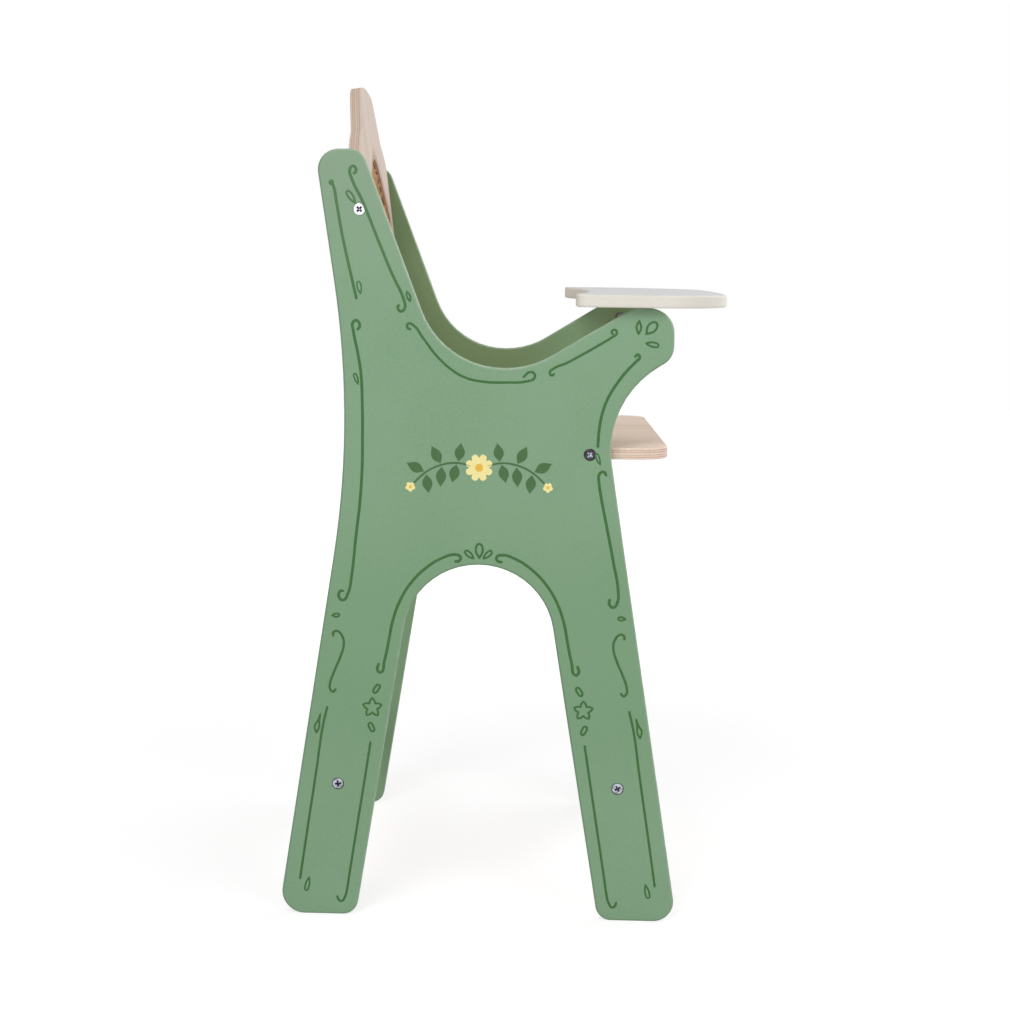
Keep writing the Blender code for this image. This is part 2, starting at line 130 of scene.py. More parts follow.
floor_half = 4.0
floor_form = bmesh.new()
bmesh.ops.create_grid(floor_form, x_segments=2, y_segments=2, size=floor_half)
floor_mesh = bpy.data.meshes.new("floor")
floor_form.to_mesh(floor_mesh)
floor_form.free()
floor = bpy.data.objects.new("floor", floor_mesh)
bpy.context.scene.collection.objects.link(floor)

floor_paint = bpy.data.materials.new("white_sweep")
floor_paint.use_nodes = True
floor_paint.node_tree.nodes.clear()
floor_out = floor_paint.node_tree.nodes.new("ShaderNodeOutputMaterial")
ground = Wire(floor_out.inputs["Surface"])
spot = ground.node("ShaderNodeTexCoord", {}, {}, "Object")
away = spot.node("ShaderNodeVectorMath", {"operation": "LENGTH"}, {0: spot}, "Value")
matt = ground.node("ShaderNodeBsdfDiffuse", {}, {"Color": (0.87, 0.855, 0.87, 1.0)})
glow = ground.node("ShaderNodeEmission", {}, {"Color": (1.0, 1.0, 1.0, 1.0),
                                              "Strength": away.between(0.35, 1.2) * 0.4 + 1.4})
sweep = ground.node("ShaderNodeMixShader", {}, {0: watched(ground) * 0.5, 1: matt, 2: glow})
floor_paint.node_tree.links.new(sweep.socket, floor_out.inputs["Surface"])
floor_mesh.materials.append(floor_paint)

world = bpy.data.worlds.new("studio")
bpy.context.scene.world = world
world.use_nodes = True
sky = world.node_tree.nodes["Background"]
sky.inputs["Color"].default_value = (1.0, 1.0, 1.0, 1.0)
rays = Wire(sky.outputs[0])
sky_light = 0.3
sky_strength = watched(rays) * (1.0 - sky_light) + sky_light
world.node_tree.links.new(sky_strength.socket, sky.inputs["Strength"])

lamp_target = Vector((0.0, 0.0, 0.3))
for name, where, size, power in (
    ("right_front_lamp", (-1.6, -1.2, 1.5), 1.4, 11.0),
    ("right_rear_lamp", (-1.6, 0.7, 1.7), 1.3, 21.0),
    ("left_front_lamp", (1.2, -1.6, 1.2), 3.0, 29.0),
):
    lamp_data = bpy.data.lights.new(name, "AREA")
    lamp_data.shape = "DISK"
    lamp_data.size = size
    lamp_data.energy = power
    lamp = bpy.data.objects.new(name, lamp_data)
    aim = (lamp_target - Vector(where)).to_track_quat("-Z", "Y")
    lamp.matrix_world = Matrix.Translation(where) @ aim.to_matrix().to_4x4()
    bpy.context.scene.collection.objects.link(lamp)


# Side panels
# Two boards sawn to one outline that takes in the legs, the arm and the post. Their edges are
# eased and they are sprayed a matte sage green. Rims facing up or forward get a painted highlight,
# with patches of worn paint, and rims facing back or down get painted shade. The post, the legs and
# the inner faces carry painted light and shade too.
def new_finish(name):
    """A new material, and its Principled shader's output as a first wire."""
    material = bpy.data.materials.new(name)
    material.use_nodes = True
    return material, Wire(material.node_tree.nodes["Principled BSDF"].outputs[0])


def coat(shader, inputs):
    """Sets or links the sockets of a material's Principled shader."""
    principled = shader.socket.node
    for name, value in inputs.items():
        if isinstance(value, Wire):
            shader.socket.id_data.links.new(value.socket, principled.inputs[name])
        else:
            principled.inputs[name].default_value = value


def blended(factor, first, second):
    """Two colours mixed by a wire; each is a wire or three numbers."""
    sides = [side if isinstance(side, Wire) else (*side, 1.0) for side in (first, second)]
    return factor.node("ShaderNodeMix", {"data_type": "RGBA"}, {0: factor, 6: sides[0], 7: sides[1]}, 2)


def cloud(point, scale, detail, roughness=0.5):
    """Soft noise from 0 to 1 at that many waves a metre."""
    return point.node("ShaderNodeTexNoise", {}, {"Vector": point, "Scale": scale, "Detail": detail,
                                                 "Roughness": roughness})


green_paint, green = new_finish("sage_green_paint")
spot = green.node("ShaderNodeTexCoord", {}, {}, "Object")
facing = green.node("ShaderNodeNewGeometry", {}, {}, "Normal")
outward = facing.part(0)
across = abs(outward)
rim = across.between(0.08, 0.35) * (1.0 - across.between(0.85, 0.99))
rearward = facing.part(1)
upward = facing.part(2)
lit = (upward - rearward).between(-0.3, 0.5)
inner_side = (outward * spot.part(0) * -8.0).between(0.3, 0.8)  # 1 on a panel's inner face
fine_grain = cloud(spot, 900.0, 3.0, 0.6)
patches = cloud(spot, 14.0, 3.0)
green_body = blended(patches.between(0.3, 0.7), (0.198, 0.350, 0.200), (0.218, 0.372, 0.221))
green_body = blended(fine_grain.between(0.25, 0.75) * 0.6, green_body, (0.262, 0.405, 0.262))
height = spot.part(2)
# Painted sheen: the post is made paler and greyer towards its top.
post_sheen = height.between(0.38, 0.52)
green_body = blended(post_sheen * 0.55, green_body, (0.278, 0.378, 0.270))
# Painted shade: the legs are made darker.
leg_shade = height.between(0.05, 0.14) * (1.0 - height.between(0.2, 0.3))
green_body = blended(leg_shade * 0.45, green_body, (0.172, 0.322, 0.164))
# Painted shade: the inner faces are made olive above the seat.
above_seat = height.between(0.25, 0.33)
green_body = blended(inner_side * above_seat, green_body, (0.206, 0.317, 0.158))
# Painted light: the inner faces are made lighter again at the arm.
reach = spot.part(1)
arm = above_seat * (1.0 - reach.between(-0.05, 0.0)) * reach.between(-0.085, -0.065)
green_body = blended(inner_side * arm, green_body, (0.231, 0.380, 0.213))
# Painted light: the inner faces are made lighter below the seat.
below_seat = 1.0 - height.between(0.2, 0.3)
green_body = blended(inner_side * below_seat * 0.8, green_body, (0.232, 0.395, 0.222))
specks = spot.node("ShaderNodeTexVoronoi", {}, {"Vector": spot, "Scale": 55.0}, "Distance")
speck_pick = spot.node("ShaderNodeTexVoronoi", {}, {"Vector": spot, "Scale": 55.0}, "Color")
speck_pick = speck_pick.node("ShaderNodeSeparateColor", {}, {0: speck_pick}, 0)
speck = (1.0 - specks.between(0.012, 0.02)) * (1.0 - speck_pick.between(0.1, 0.12))
green_body = blended(speck * 0.7, green_body, (0.09, 0.12, 0.07))
worn = rim * cloud(spot, 160.0, 4.0).between(0.42, 0.62)
# Painted highlight on rims facing up or forward, mixed with patches of worn paint; painted shade on rims
# facing back or down.
green_body = blended((rim * 0.28 + worn * 0.28) * lit, green_body, (0.56, 0.61, 0.50))
green_body = blended(rim * (1.0 - lit) * 0.8, green_body, (0.085, 0.155, 0.075))
orange_peel = green.node("ShaderNodeBump", {}, {"Strength": 0.12, "Distance": 0.0003,
                                                "Height": cloud(spot, 650.0, 2.0)})
coat(green, {"Base Color": green_body, "Roughness": fine_grain * 0.08 + 0.46, "Normal": orange_peel,
             "Specular IOR Level": 0.35})
for name in ("side_panel_right", "side_panel_left"):
    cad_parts[name].material_slots[0].material = green_paint


# Border print
# Thin scrolls, drops and star flowers printed round the outer face of each panel in a darker
# green ink. Each line lies on the paint as a low ridge, about a tenth of a millimetre high.
mm = 0.001
rear_foot_reach = 130.2 * mm
chair_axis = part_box("side_panel_right")[1].y - rear_foot_reach
outer_face = abs(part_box("side_panel_right")[0].x)
print_depth = 0.5 * mm
print_relief = 0.06 * mm


def new_print(name):
    """An empty curve whose lines are swept with a round section, later pressed flat."""
    curve = bpy.data.curves.new(name, "CURVE")
    curve.dimensions = "3D"
    curve.bevel_depth = print_depth
    curve.bevel_resolution = 2
    curve.resolution_u = 6
    curve.use_fill_caps = True
    return curve


def knots(curve, points, radii, handles, cyclic):
    """One spline of the print, through points in millimetres: their reach back from the chair's axis
    and their height over the floor."""
    spline = curve.splines.new("BEZIER")
    spline.bezier_points.add(len(points) - 1)
    for knot, point, radius, handle in zip(spline.bezier_points, points, radii, handles):
        knot.co = (point[0] * mm, point[1] * mm, 0.0)
        knot.radius = radius * mm / 2 / print_depth
        knot.handle_left_type = handle
        knot.handle_right_type = handle
    spline.use_cyclic_u = cyclic


def scroll(curve, points, width):
    """An open line with rounded ends."""
    start, end = Vector(points[0]), Vector(points[-1])
    start_run = (Vector(points[1]) - start).normalized() * width * 0.4
    end_run = (Vector(points[-2]) - end).normalized() * width * 0.4
    line = [start, start + start_run, *map(Vector, points[1:-1]), end + end_run, end]
    radii = [width * 0.35, *[width] * (len(line) - 2), width * 0.35]
    knots(curve, line, radii, ["AUTO"] * len(line), False)


def drop(curve, tip, end, girth, width):
    """The outline of a drop, pointed at its tip and round at its end."""
    tip, end = Vector(tip), Vector(end)
    side = (end - tip).orthogonal().normalized() * girth / 2
    belly = tip.lerp(end, 0.62)
    line = [tip, belly + side, end, belly - side]
    knots(curve, line, [width] * 4, ["VECTOR", "AUTO", "AUTO", "AUTO"], True)


def bud(curve, start, end, girth, width, tips="VECTOR"):
    """The outline of a bud, pointed at both ends, or round there where its tips are AUTO."""
    start, end = Vector(start), Vector(end)
    side = (end - start).orthogonal().normalized() * girth / 2
    belly = start.lerp(end, 0.5)
    knots(curve, [start, belly + side, end, belly - side], [width] * 4, [tips, "AUTO"] * 2, True)


def dot(curve, centre, width):
    """A round spot, drawn as a very short line that swells and narrows again."""
    shares = [-0.5, -0.44, -0.3, 0.0, 0.3, 0.44, 0.5]
    line = [(centre[0], centre[1] + width * share) for share in shares]
    radii = [2 * width * math.sqrt(0.252 - share ** 2) for share in shares]
    knots(curve, line, radii, ["VECTOR"] * len(shares), False)


def star_flower(curve, centre, reach, width):
    """The outline of a star with five full, pointed arms."""
    line = []
    for arm in range(5):
        for turn, share in ((-17, 0.76), (0, 1.0), (17, 0.76), (36, 0.51)):
            angle = math.radians(90 + 72 * arm + turn)
            line.append(Vector(centre) + Vector((math.cos(angle), math.sin(angle))) * reach * share)
    knots(curve, line, [width] * 20, ["AUTO", "VECTOR", "AUTO", "VECTOR"] * 5, True)


def mirrored_points(points):
    """The same points on the other side of the chair's axis."""
    return [(-reach, height) for reach, height in points]


main_line = 1.85
thin_line = 1.6
drop_line = 1.3
star_line = 1.35
border = new_print("border_print")
dot(border, (95.4, 484.8), 3.5)
scroll(border, [(95.1, 484.8), (93.9, 482.3), (92, 472), (88.3, 451), (83.7, 430), (79.2, 410.5)],
       main_line)
drop(border, (76.7, 414), (78.2, 422), 2.6, drop_line - 0.3)
scroll(border, [(81.6, 490.1), (79.9, 491), (79.7, 493.7), (81.7, 494.9), (83.5, 492.2), (82.4, 487.5),
                (75, 472), (66.5, 451), (57, 428), (48.5, 409), (48.2, 405.5), (50.6, 403), (52.8, 405.5),
                (51.8, 407.6)], main_line)
drop(border, (79.8, 471.5), (85.2, 479.2), 2.9, drop_line)
bud(border, (44.8, 409.3), (47, 415.7), 2.2, drop_line)
scroll(border, [(79, 390.8), (77.3, 393.5), (79.4, 397.2), (81.6, 396), (81.3, 390), (78.8, 377.5),
                (76.6, 363.5), (75.7, 342), (75.6, 320.5), (76, 299), (77.4, 279), (80.2, 255), (83, 230),
                (85.3, 219), (88.6, 214.4), (91.4, 217), (90, 220.6), (87.8, 220.4)], main_line)
drop(border, (78.3, 356), (80.7, 363), 2, drop_line - 0.2)
scroll(border, [(44.2, 391.2), (46.6, 392.6), (46, 395.2), (43, 394.4), (36.5, 386), (27, 373.8),
                (17.4, 365.3), (8.6, 360.5), (-2, 358.2), (-17, 357.7), (-30.6, 358.6), (-35, 360.6),
                (-34.6, 363.8), (-31.6, 364.3), (-27.6, 360.8)], thin_line)
scroll(border, [(-48, 363.6), (-46.2, 362.3), (-44.8, 364.2), (-47, 366.6), (-55.2, 370.2), (-65, 375.5),
                (-74.5, 381), (-84, 386.8), (-87, 389.3), (-86.4, 391.3), (-84.2, 391.1), (-84, 389.4),
                (-85.2, 388.6)], thin_line)
bud(border, (-100.8, 388.9), (-101.1, 397.3), 2.9, drop_line + 0.15)
drop(border, (-105.6, 388.8), (-111.9, 396.1), 5.4, drop_line + 0.15)
drop(border, (-105.4, 383.2), (-113.6, 381.5), 2.9, drop_line)
scroll(border, [(-98.4, 374.2), (-100.6, 375.8), (-101.8, 373.8), (-100.2, 372), (-94.2, 365.8),
                (-88.5, 358.5), (-82.8, 349.2), (-79.2, 340), (-77.2, 330.5), (-76.3, 320.5),
                (-76.2, 315.9)], main_line)
drop(border, (-77.9, 304.8), (-75.2, 312), 2, drop_line - 0.25)
scroll(border, [(-82.3, 297.6), (-80, 300.4), (-77.5, 299), (-77.2, 294), (-78.5, 285.3), (-82.7, 264.5),
                (-87.1, 242.5), (-90.7, 222.4), (-90.4, 215.2), (-87.8, 211.8), (-85.1, 213.8),
                (-85.4, 217.6)], main_line)
arch_line = [(-15.8, 240.6), (-12.4, 241.5), (-11.8, 244), (-14.8, 245.4), (-23.8, 243), (-33.8, 236.7),
             (-43.8, 226.6), (-50.9, 215), (-55.9, 201), (-58.8, 186), (-61.4, 174), (-64, 166.3),
             (-66, 168), (-65, 172.8)]
scroll(border, arch_line, main_line)
scroll(border, mirrored_points(arch_line), main_line)
drop(border, (-0.6, 243.2), (-0.4, 252.6), 4.6, drop_line + 0.15)
for out in (-1, 1):
    drop(border, (3 * out, 242.8), (8.5 * out, 247.9), 2.8, drop_line)
    drop(border, (95.9 * out, 204.1), (91 * out, 204.4), 2.2, drop_line)
    scroll(border, [(95.2 * out, 189.9), (95.1 * out, 192.7), (92.7 * out, 193.8), (89 * out, 189.8),
                    (88.2 * out, 185), (90.6 * out, 176), (94.4 * out, 167), (97.4 * out, 158.2),
                    (97.4 * out, 154.8), (95.5 * out, 152.8), (93.1 * out, 154.9)], thin_line)
    scroll(border, [(99.1 * out, 143), (102.2 * out, 129.8), (106.8 * out, 98.6), (112.2 * out, 63.5),
                    (118.2 * out, 23.5)], thin_line)
    knots(border, [(103.8 * out, 137.8), (105.7 * out, 132.8), (107.6 * out, 129.6), (106.7 * out, 124.6),
                   (104.8 * out, 128.4), (104.6 * out, 132.6)], [drop_line] * 6,
          ["VECTOR", "AUTO", "AUTO"] * 2, True)
    drop(border, (111.9 * out, 25.4), (114.1 * out, 16.1), 2.6, drop_line - 0.1)
    bud(border, (64.9 * out, 157.9), (68.2 * out, 152.6), 2.8, drop_line + 0.15, "AUTO")
    star_flower(border, (69.4 * out, 142.5), 6.4, star_line)
    bud(border, (71.2 * out, 132.0), (68.7 * out, 126.4), 2.8, drop_line + 0.15, "AUTO")
    scroll(border, [(70.5 * out, 119.5), (74.4 * out, 94.3), (79.8 * out, 60.2), (83.3 * out, 38),
                    (85 * out, 27), (86.3 * out, 18.6), (88.1 * out, 11.7), (90.3 * out, 9.1),
                    (92.2 * out, 10.3), (93.2 * out, 13.1)], thin_line)


def pressed(name, curve, material, side, thickness):
    """Lays a mesh of the curve on a panel's outer face, half sunk in, its height scaled as given."""
    drawing = bpy.data.objects.new(name, curve)
    bpy.context.scene.collection.objects.link(drawing)
    bpy.context.view_layer.update()
    mesh = bpy.data.meshes.new_from_object(drawing.evaluated_get(bpy.context.evaluated_depsgraph_get()))
    bpy.data.objects.remove(drawing)
    mesh.transform(Matrix(((0, 0, thickness, side * outer_face), (1, 0, 0, chair_axis), (0, 1, 0, 0),
                           (0, 0, 0, 1))))
    mesh.materials.clear()
    mesh.materials.append(material)
    form = bmesh.new()
    form.from_mesh(mesh)
    bmesh.ops.remove_doubles(form, verts=form.verts, dist=0.000002)
    bmesh.ops.recalc_face_normals(form, faces=form.faces)
    form.to_mesh(mesh)
    form.free()
    piece = bpy.data.objects.new(name, mesh)
    bpy.context.scene.collection.objects.link(piece)
    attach(piece, "root")


def ink(name, colour, deeper, post_colour):
    """A matte printing ink, a little uneven where it takes on the paint and paler up the post."""
    material, shader = new_finish(name)
    spot = shader.node("ShaderNodeTexCoord", {}, {}, "Object")
    uneven = cloud(spot, 480.0, 3.0, 0.6)
    up_post = spot.part(2).between(0.37, 0.46)
    body = blended(up_post, blended(uneven.between(0.3, 0.7), colour, deeper), post_colour)
    ink_bump = shader.node("ShaderNodeBump", {}, {"Strength": 0.1, "Distance": 0.0002, "Height": uneven})
    coat(shader, {"Base Color": body, "Roughness": uneven * 0.1 + 0.42, "Normal": ink_bump,
                  "Specular IOR Level": 0.35})
    return material


line_ink = ink("dark_green_ink", (0.050, 0.160, 0.042), (0.040, 0.142, 0.034), (0.080, 0.192, 0.072))
for side, name in ((-1, "border_print_right"), (1, "border_print_left")):
    pressed(name, border.copy(), line_ink, side, print_relief / print_depth)


# Blossom spray
# A small spray in the middle of each panel: one round blossom, two drooping stems with paired
# leaves, and a smaller blossom at each stem's end. Leaves, petals and centres are printed in turn.
stem_line = 1.3
spray = new_print("spray_stems")
stem = [(5, 303.5), (14, 305.5), (25, 304), (35, 299), (43, 291.5)]
for points in (stem, mirrored_points(stem)):
    scroll(spray, points, stem_line)


def new_patch(name, height):
    """An empty flat curve whose closed outlines are filled and given a little height."""
    curve = bpy.data.curves.new(name, "CURVE")
    curve.dimensions = "2D"
    curve.fill_mode = "BOTH"
    curve.extrude = height
    curve.resolution_u = 8
    return curve


def leaf(curve, root, tip, girth):
    """A filled leaf, pointed at both ends and fullest a little nearer its root."""
    root, tip = Vector(root), Vector(tip)
    side = (tip - root).orthogonal().normalized() * girth / 2
    belly = root.lerp(tip, 0.45)
    knots(curve, [root, belly + side, tip, belly - side], [1] * 4, ["VECTOR", "AUTO"] * 2, True)


def blossom(curve, centre, reach, petals, notch):
    """A filled flower outline with round petals: each has a notch and two shoulders."""
    line = []
    for petal in range(petals):
        for share, length in ((0.0, reach * notch), (0.28, reach), (0.72, reach)):
            angle = math.radians(90 + 360 * (petal + share) / petals)
            line.append(Vector(centre) + Vector((math.cos(angle), math.sin(angle))) * length)
    knots(curve, line, [1] * len(line), ["VECTOR", "AUTO", "AUTO"] * petals, True)


leaves = new_patch("spray_leaves", 0.04 * mm)
leaf_girth = 6.6
for ends in (
    [(13.4, 306.4), (11.6, 318.6)],
    [(14.6, 304.6), (17.4, 292.6)],
    [(24.8, 305.0), (30.8, 316.4)],
    [(24.2, 303.0), (25.0, 289.8)],
    [(35.6, 299.8), (47.0, 305.4)],
    [(34.2, 298.0), (32.6, 285.6)],
):
    leaf(leaves, *ends, leaf_girth)
    leaf(leaves, *mirrored_points(ends), leaf_girth)
petals = new_patch("spray_petals", 0.07 * mm)
blossom(petals, (0, 302.5), 8.6, 8, 0.74)
for out in (-1, 1):
    blossom(petals, (44.5 * out, 289.8), 3.1, 5, 0.76)
centres = new_patch("spray_centres", 0.1 * mm)
blossom(centres, (0, 302.5), 2.6, 4, 0.96)
for out in (-1, 1):
    blossom(centres, (44.5 * out, 289.8), 1.0, 4, 0.96)
leaf_ink = ink("leaf_green_ink", (0.068, 0.162, 0.056), (0.058, 0.146, 0.048), (0.068, 0.162, 0.056))
petal_ink = ink("pale_yellow_ink", (0.97, 0.87, 0.39), (0.94, 0.82, 0.35), (0.97, 0.87, 0.39))
centre_ink = ink("amber_ink", (0.90, 0.55, 0.07), (0.86, 0.50, 0.06), (0.90, 0.55, 0.07))
for side, hand in ((-1, "right"), (1, "left")):
    pressed("spray_stems_" + hand, spray.copy(), leaf_ink, side, print_relief / print_depth)
    pressed("spray_leaves_" + hand, leaves.copy(), leaf_ink, side, 1)
    pressed("spray_petals_" + hand, petals.copy(), petal_ink, side, 1)
    pressed("spray_centres_" + hand, centres.copy(), centre_ink, side, 1)


# Seat
# A plain sanded board of birch plywood with rounded front corners. Its faces show the grain of
# the outer veneers and its edges the five layers, light and dark by turns, and their glue.
plies = 5
ply = 1.54 * mm
ply_wander = 0.35 * mm
scorch_shade_reach = 10.0 * mm
scorch_shade_drift = 0.05  # how far the edge of the scorch and painted shade moves out for each metre across the board


def birch(name, middle, grain, normal, face_light_level, edge_light_level, cut_distance=None):
    """Birch plywood for a board with this middle, grain direction and normal, its colours scaled by
    the two light levels given, which paint light and shade on this board's copy. Where the board
    has a cut-out, cut_distance gives each point's distance outside it, and the cut is scorched,
    with the face beside it browned, partly scorch and partly painted shade."""
    def lit_copy(light_level, *colour):
        return [value * light_level for value in colour]

    material, shader = new_finish(name)
    turned = Matrix((grain, normal.cross(grain), normal))
    turn = turned.to_euler("XYZ")
    offset = -(turned @ Vector(middle))
    spot = shader.node("ShaderNodeTexCoord", {}, {}, "Object")
    board = spot.node("ShaderNodeMapping", {"vector_type": "POINT"},
                      {"Vector": spot, "Location": offset, "Rotation": turn})
    facing = shader.node("ShaderNodeNewGeometry", {}, {}, "Normal")
    facing = facing.node("ShaderNodeMapping", {"vector_type": "VECTOR"},
                         {"Vector": facing, "Rotation": turn})
    edge = 1.0 - abs(facing.part(2)).between(0.5, 0.85)
    stretched = board.scaled((2.2, 14.0, 14.0))
    hills = cloud(stretched, 1.0, 3.0, 0.45)
    rings = hills.maths("PINGPONG", hills * 9.0, 1.0)
    fibre_space = board.scaled((60.0, 1300.0, 1300.0))
    fibres = cloud(fibre_space, 1.0, 4.0, 0.6)
    face = blended(cloud(board, 9.0, 2.0).between(0.3, 0.7), lit_copy(face_light_level, 0.72, 0.585, 0.49),
                   lit_copy(face_light_level, 0.77, 0.64, 0.55))
    face = blended(rings.between(0.55, 1.0) * 0.35, face, lit_copy(face_light_level, 0.58, 0.42, 0.32))
    face = blended(fibres.between(0.35, 0.8) * 0.3, face, lit_copy(face_light_level, 0.61, 0.46, 0.36))
    streak_space = board.scaled((45.0, 420.0, 420.0))
    streaks = cloud(streak_space, 1.0, 2.0).between(0.66, 0.76)
    face = blended(streaks * 0.35, face, lit_copy(face_light_level, 0.60, 0.39, 0.24))
    wander = (cloud(board, 26.0, 2.0) - 0.5) * ply_wander
    level = (board.part(2) + wander) / ply + plies / 2
    layer = level.maths("FLOOR", level, 0.0)
    within = abs(level - layer - 0.5)
    glue = within.between(0.35, 0.46)
    crossed = layer.maths("MODULO", layer + 20.0, 2.0)
    end_space = board.scaled((700.0, 700.0, 160.0))
    pores = cloud(end_space, 1.0, 3.0, 0.6)
    bands = cloud(level, 0.8, 1.0).between(0.3, 0.7)
    layers = blended(crossed, lit_copy(edge_light_level, 0.80, 0.655, 0.545), lit_copy(edge_light_level, 0.73, 0.575, 0.47))
    layers = blended(bands * 0.35, layers, lit_copy(edge_light_level, 0.73, 0.48, 0.36))
    layers = blended(pores.between(0.45, 0.8) * 0.35, layers, (0.50, 0.35, 0.25))
    layers = blended(glue * 0.8, layers, (0.33, 0.20, 0.13))
    knot_spots = cloud(board, 120.0, 1.0).between(0.76, 0.8)
    layers = blended(knot_spots * 0.7, layers, (0.20, 0.11, 0.06))
    if cut_distance is not None:
        distance = cut_distance(board)
        drift = board.part(1) * scorch_shade_drift
        # Partly scorch and partly painted shade of a rounded rim: the face is browned near the window.
        scorch_and_shade = 1.0 - (distance - drift).between(0.0, scorch_shade_reach)
        face = blended(scorch_and_shade * 0.85, face, (0.36, 0.22, 0.14))
        depth = board.part(2)
        rear = depth.between(-2.9 * mm, -1.2 * mm)
        scorch = blended(rear, (0.52, 0.30, 0.18), (0.86, 0.51, 0.28))
        char_space = board.scaled((130.0, 130.0, 600.0))
        char = cloud(char_space, 1.0, 3.0, 0.6).between(0.44, 0.58)
        seam = 1.0 - abs(depth + 1.7 * mm).between(0.3 * mm, 0.8 * mm)
        scorch = blended(char * (seam * 0.6 + 0.3), scorch, (0.05, 0.025, 0.015))
        layers = blended(1.0 - distance.between(2.0 * mm, 4.0 * mm), layers, scorch)
    wood = blended(edge, face, layers)
    grooves = fibres * 0.6 - edge * glue * 0.5
    wood_bump = shader.node("ShaderNodeBump", {}, {"Strength": 0.22, "Distance": 0.0002,
                                                   "Height": grooves})
    coat(shader, {"Base Color": wood, "Roughness": fibres * 0.15 + 0.5, "Normal": wood_bump,
                  "Specular IOR Level": 0.3})
    return material


seat_low, seat_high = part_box("seat")
# Painted light: the seat's copy of the plywood is made lighter.
seat_birch = birch("seat_birch", (seat_low + seat_high) / 2, Vector((0.0, 1.0, 0.0)),
                   Vector((0.0, 0.0, 1.0)), 1.13, 1.16)
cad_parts["seat"].material_slots[0].material = seat_birch


# Backrest
# The same plywood, leaning back seven degrees, with its grain running up; its copy is made darker,
# painted shade. The window near its top is cut by laser, which leaves the wall of the cut brown and
# its rims scorched, and the face round the window browned, partly scorch and partly painted shade.
back_lean = math.radians(7.0)
window_half = 95.0 * mm
window_low = 12.3 * mm
window_top = 84.9 * mm
window_slope = math.radians(27.1)


def window_distance(board):
    """Distance outside the window, whose place is counted along the grain from the board's middle."""
    def softer(first, second, blend):
        return first.node("ShaderNodeMath", {"operation": "SMOOTH_MAX"}, {0: first, 1: second, 2: blend})

    rise = board.part(0)
    aside = board.part(1)
    climb = (rise - window_top) * math.cos(window_slope)
    run = aside * math.sin(window_slope)
    roof = softer(climb + run, climb - run, 46.0 * mm)
    walls = softer(roof, abs(aside) - window_half, 12.3 * mm)
    return softer(walls, window_low - rise, 24.6 * mm)


back_low, back_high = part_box("backrest")
back_birch = birch("backrest_birch", (back_low + back_high) / 2,
                   Vector((0.0, math.sin(back_lean), math.cos(back_lean))),
                   Vector((0.0, math.cos(back_lean), -math.sin(back_lean))), 0.83, 0.84, window_distance)
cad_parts["backrest"].material_slots[0].material = back_birch


# Cross rails
# Two short boards of the same plywood between the legs, leaning with them, with the grain along
# the rail.
leg_lean = math.radians(9.0)
for name, lean in (("rear_rail", leg_lean), ("front_rail", -leg_lean)):
    rail_low, rail_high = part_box(name)
    # Painted shade: each rail's copy has a slightly darker face.
    rail_birch = birch(name + "_birch", (rail_low + rail_high) / 2, Vector((1.0, 0.0, 0.0)),
                       Vector((0.0, -math.cos(lean), -math.sin(lean))), 0.95, 1.0)
    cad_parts[name].material_slots[0].material = rail_birch


# Tray
# A plywood board sprayed a satin off-white on all sides, with well rounded rims. The paint pools
# a little and lets the layers show faintly on the edge.
cream_paint, cream = new_finish("off_white_paint")
spot = cream.node("ShaderNodeTexCoord", {}, {}, "Object")
tray_lean = math.radians(0.8)
tray_ply = 1.1 * mm
tilted = spot.node("ShaderNodeMapping", {"vector_type": "POINT"},
                   {"Vector": spot, "Rotation": (-tray_lean, 0.0, 0.0)})
facing = cream.node("ShaderNodeNewGeometry", {}, {}, "Normal")
upward = abs(facing.part(2))
tray_edge = 1.0 - upward.between(0.4, 0.8)
pooled = cloud(spot, 22.0, 3.0)
cream_body = blended(pooled.between(0.3, 0.7), (0.79, 0.76, 0.675), (0.83, 0.80, 0.725))
tray_level = tilted.part(2) / tray_ply
ghost = abs(tray_level - tray_level.maths("ROUND", tray_level, 0.0)).between(0.38, 0.5)
cream_body = blended(tray_edge * ghost * 0.10, cream_body, (0.60, 0.55, 0.44))
cream_body = blended(cloud(spot, 800.0, 3.0).between(0.5, 0.9) * 0.15, cream_body, (0.70, 0.67, 0.58))
# Painted sheen: seen at a grazing angle the top turns grey.
grazing_sheen = cream.node("ShaderNodeLayerWeight", {}, {"Blend": 0.5}, "Facing").between(0.8, 0.95)
cream_body = blended((1.0 - tray_edge) * grazing_sheen * 0.8, cream_body, (0.59, 0.60, 0.62))
ripple = cloud(spot, 500.0, 2.0) - ghost * tray_edge * 0.2
cream_bump = cream.node("ShaderNodeBump", {}, {"Strength": 0.1, "Distance": 0.0003, "Height": ripple})
coat(cream, {"Base Color": cream_body, "Roughness": pooled * 0.1 + 0.45, "Normal": cream_bump,
             "Specular IOR Level": 0.2})
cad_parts["tray"].material_slots[0].material = cream_paint


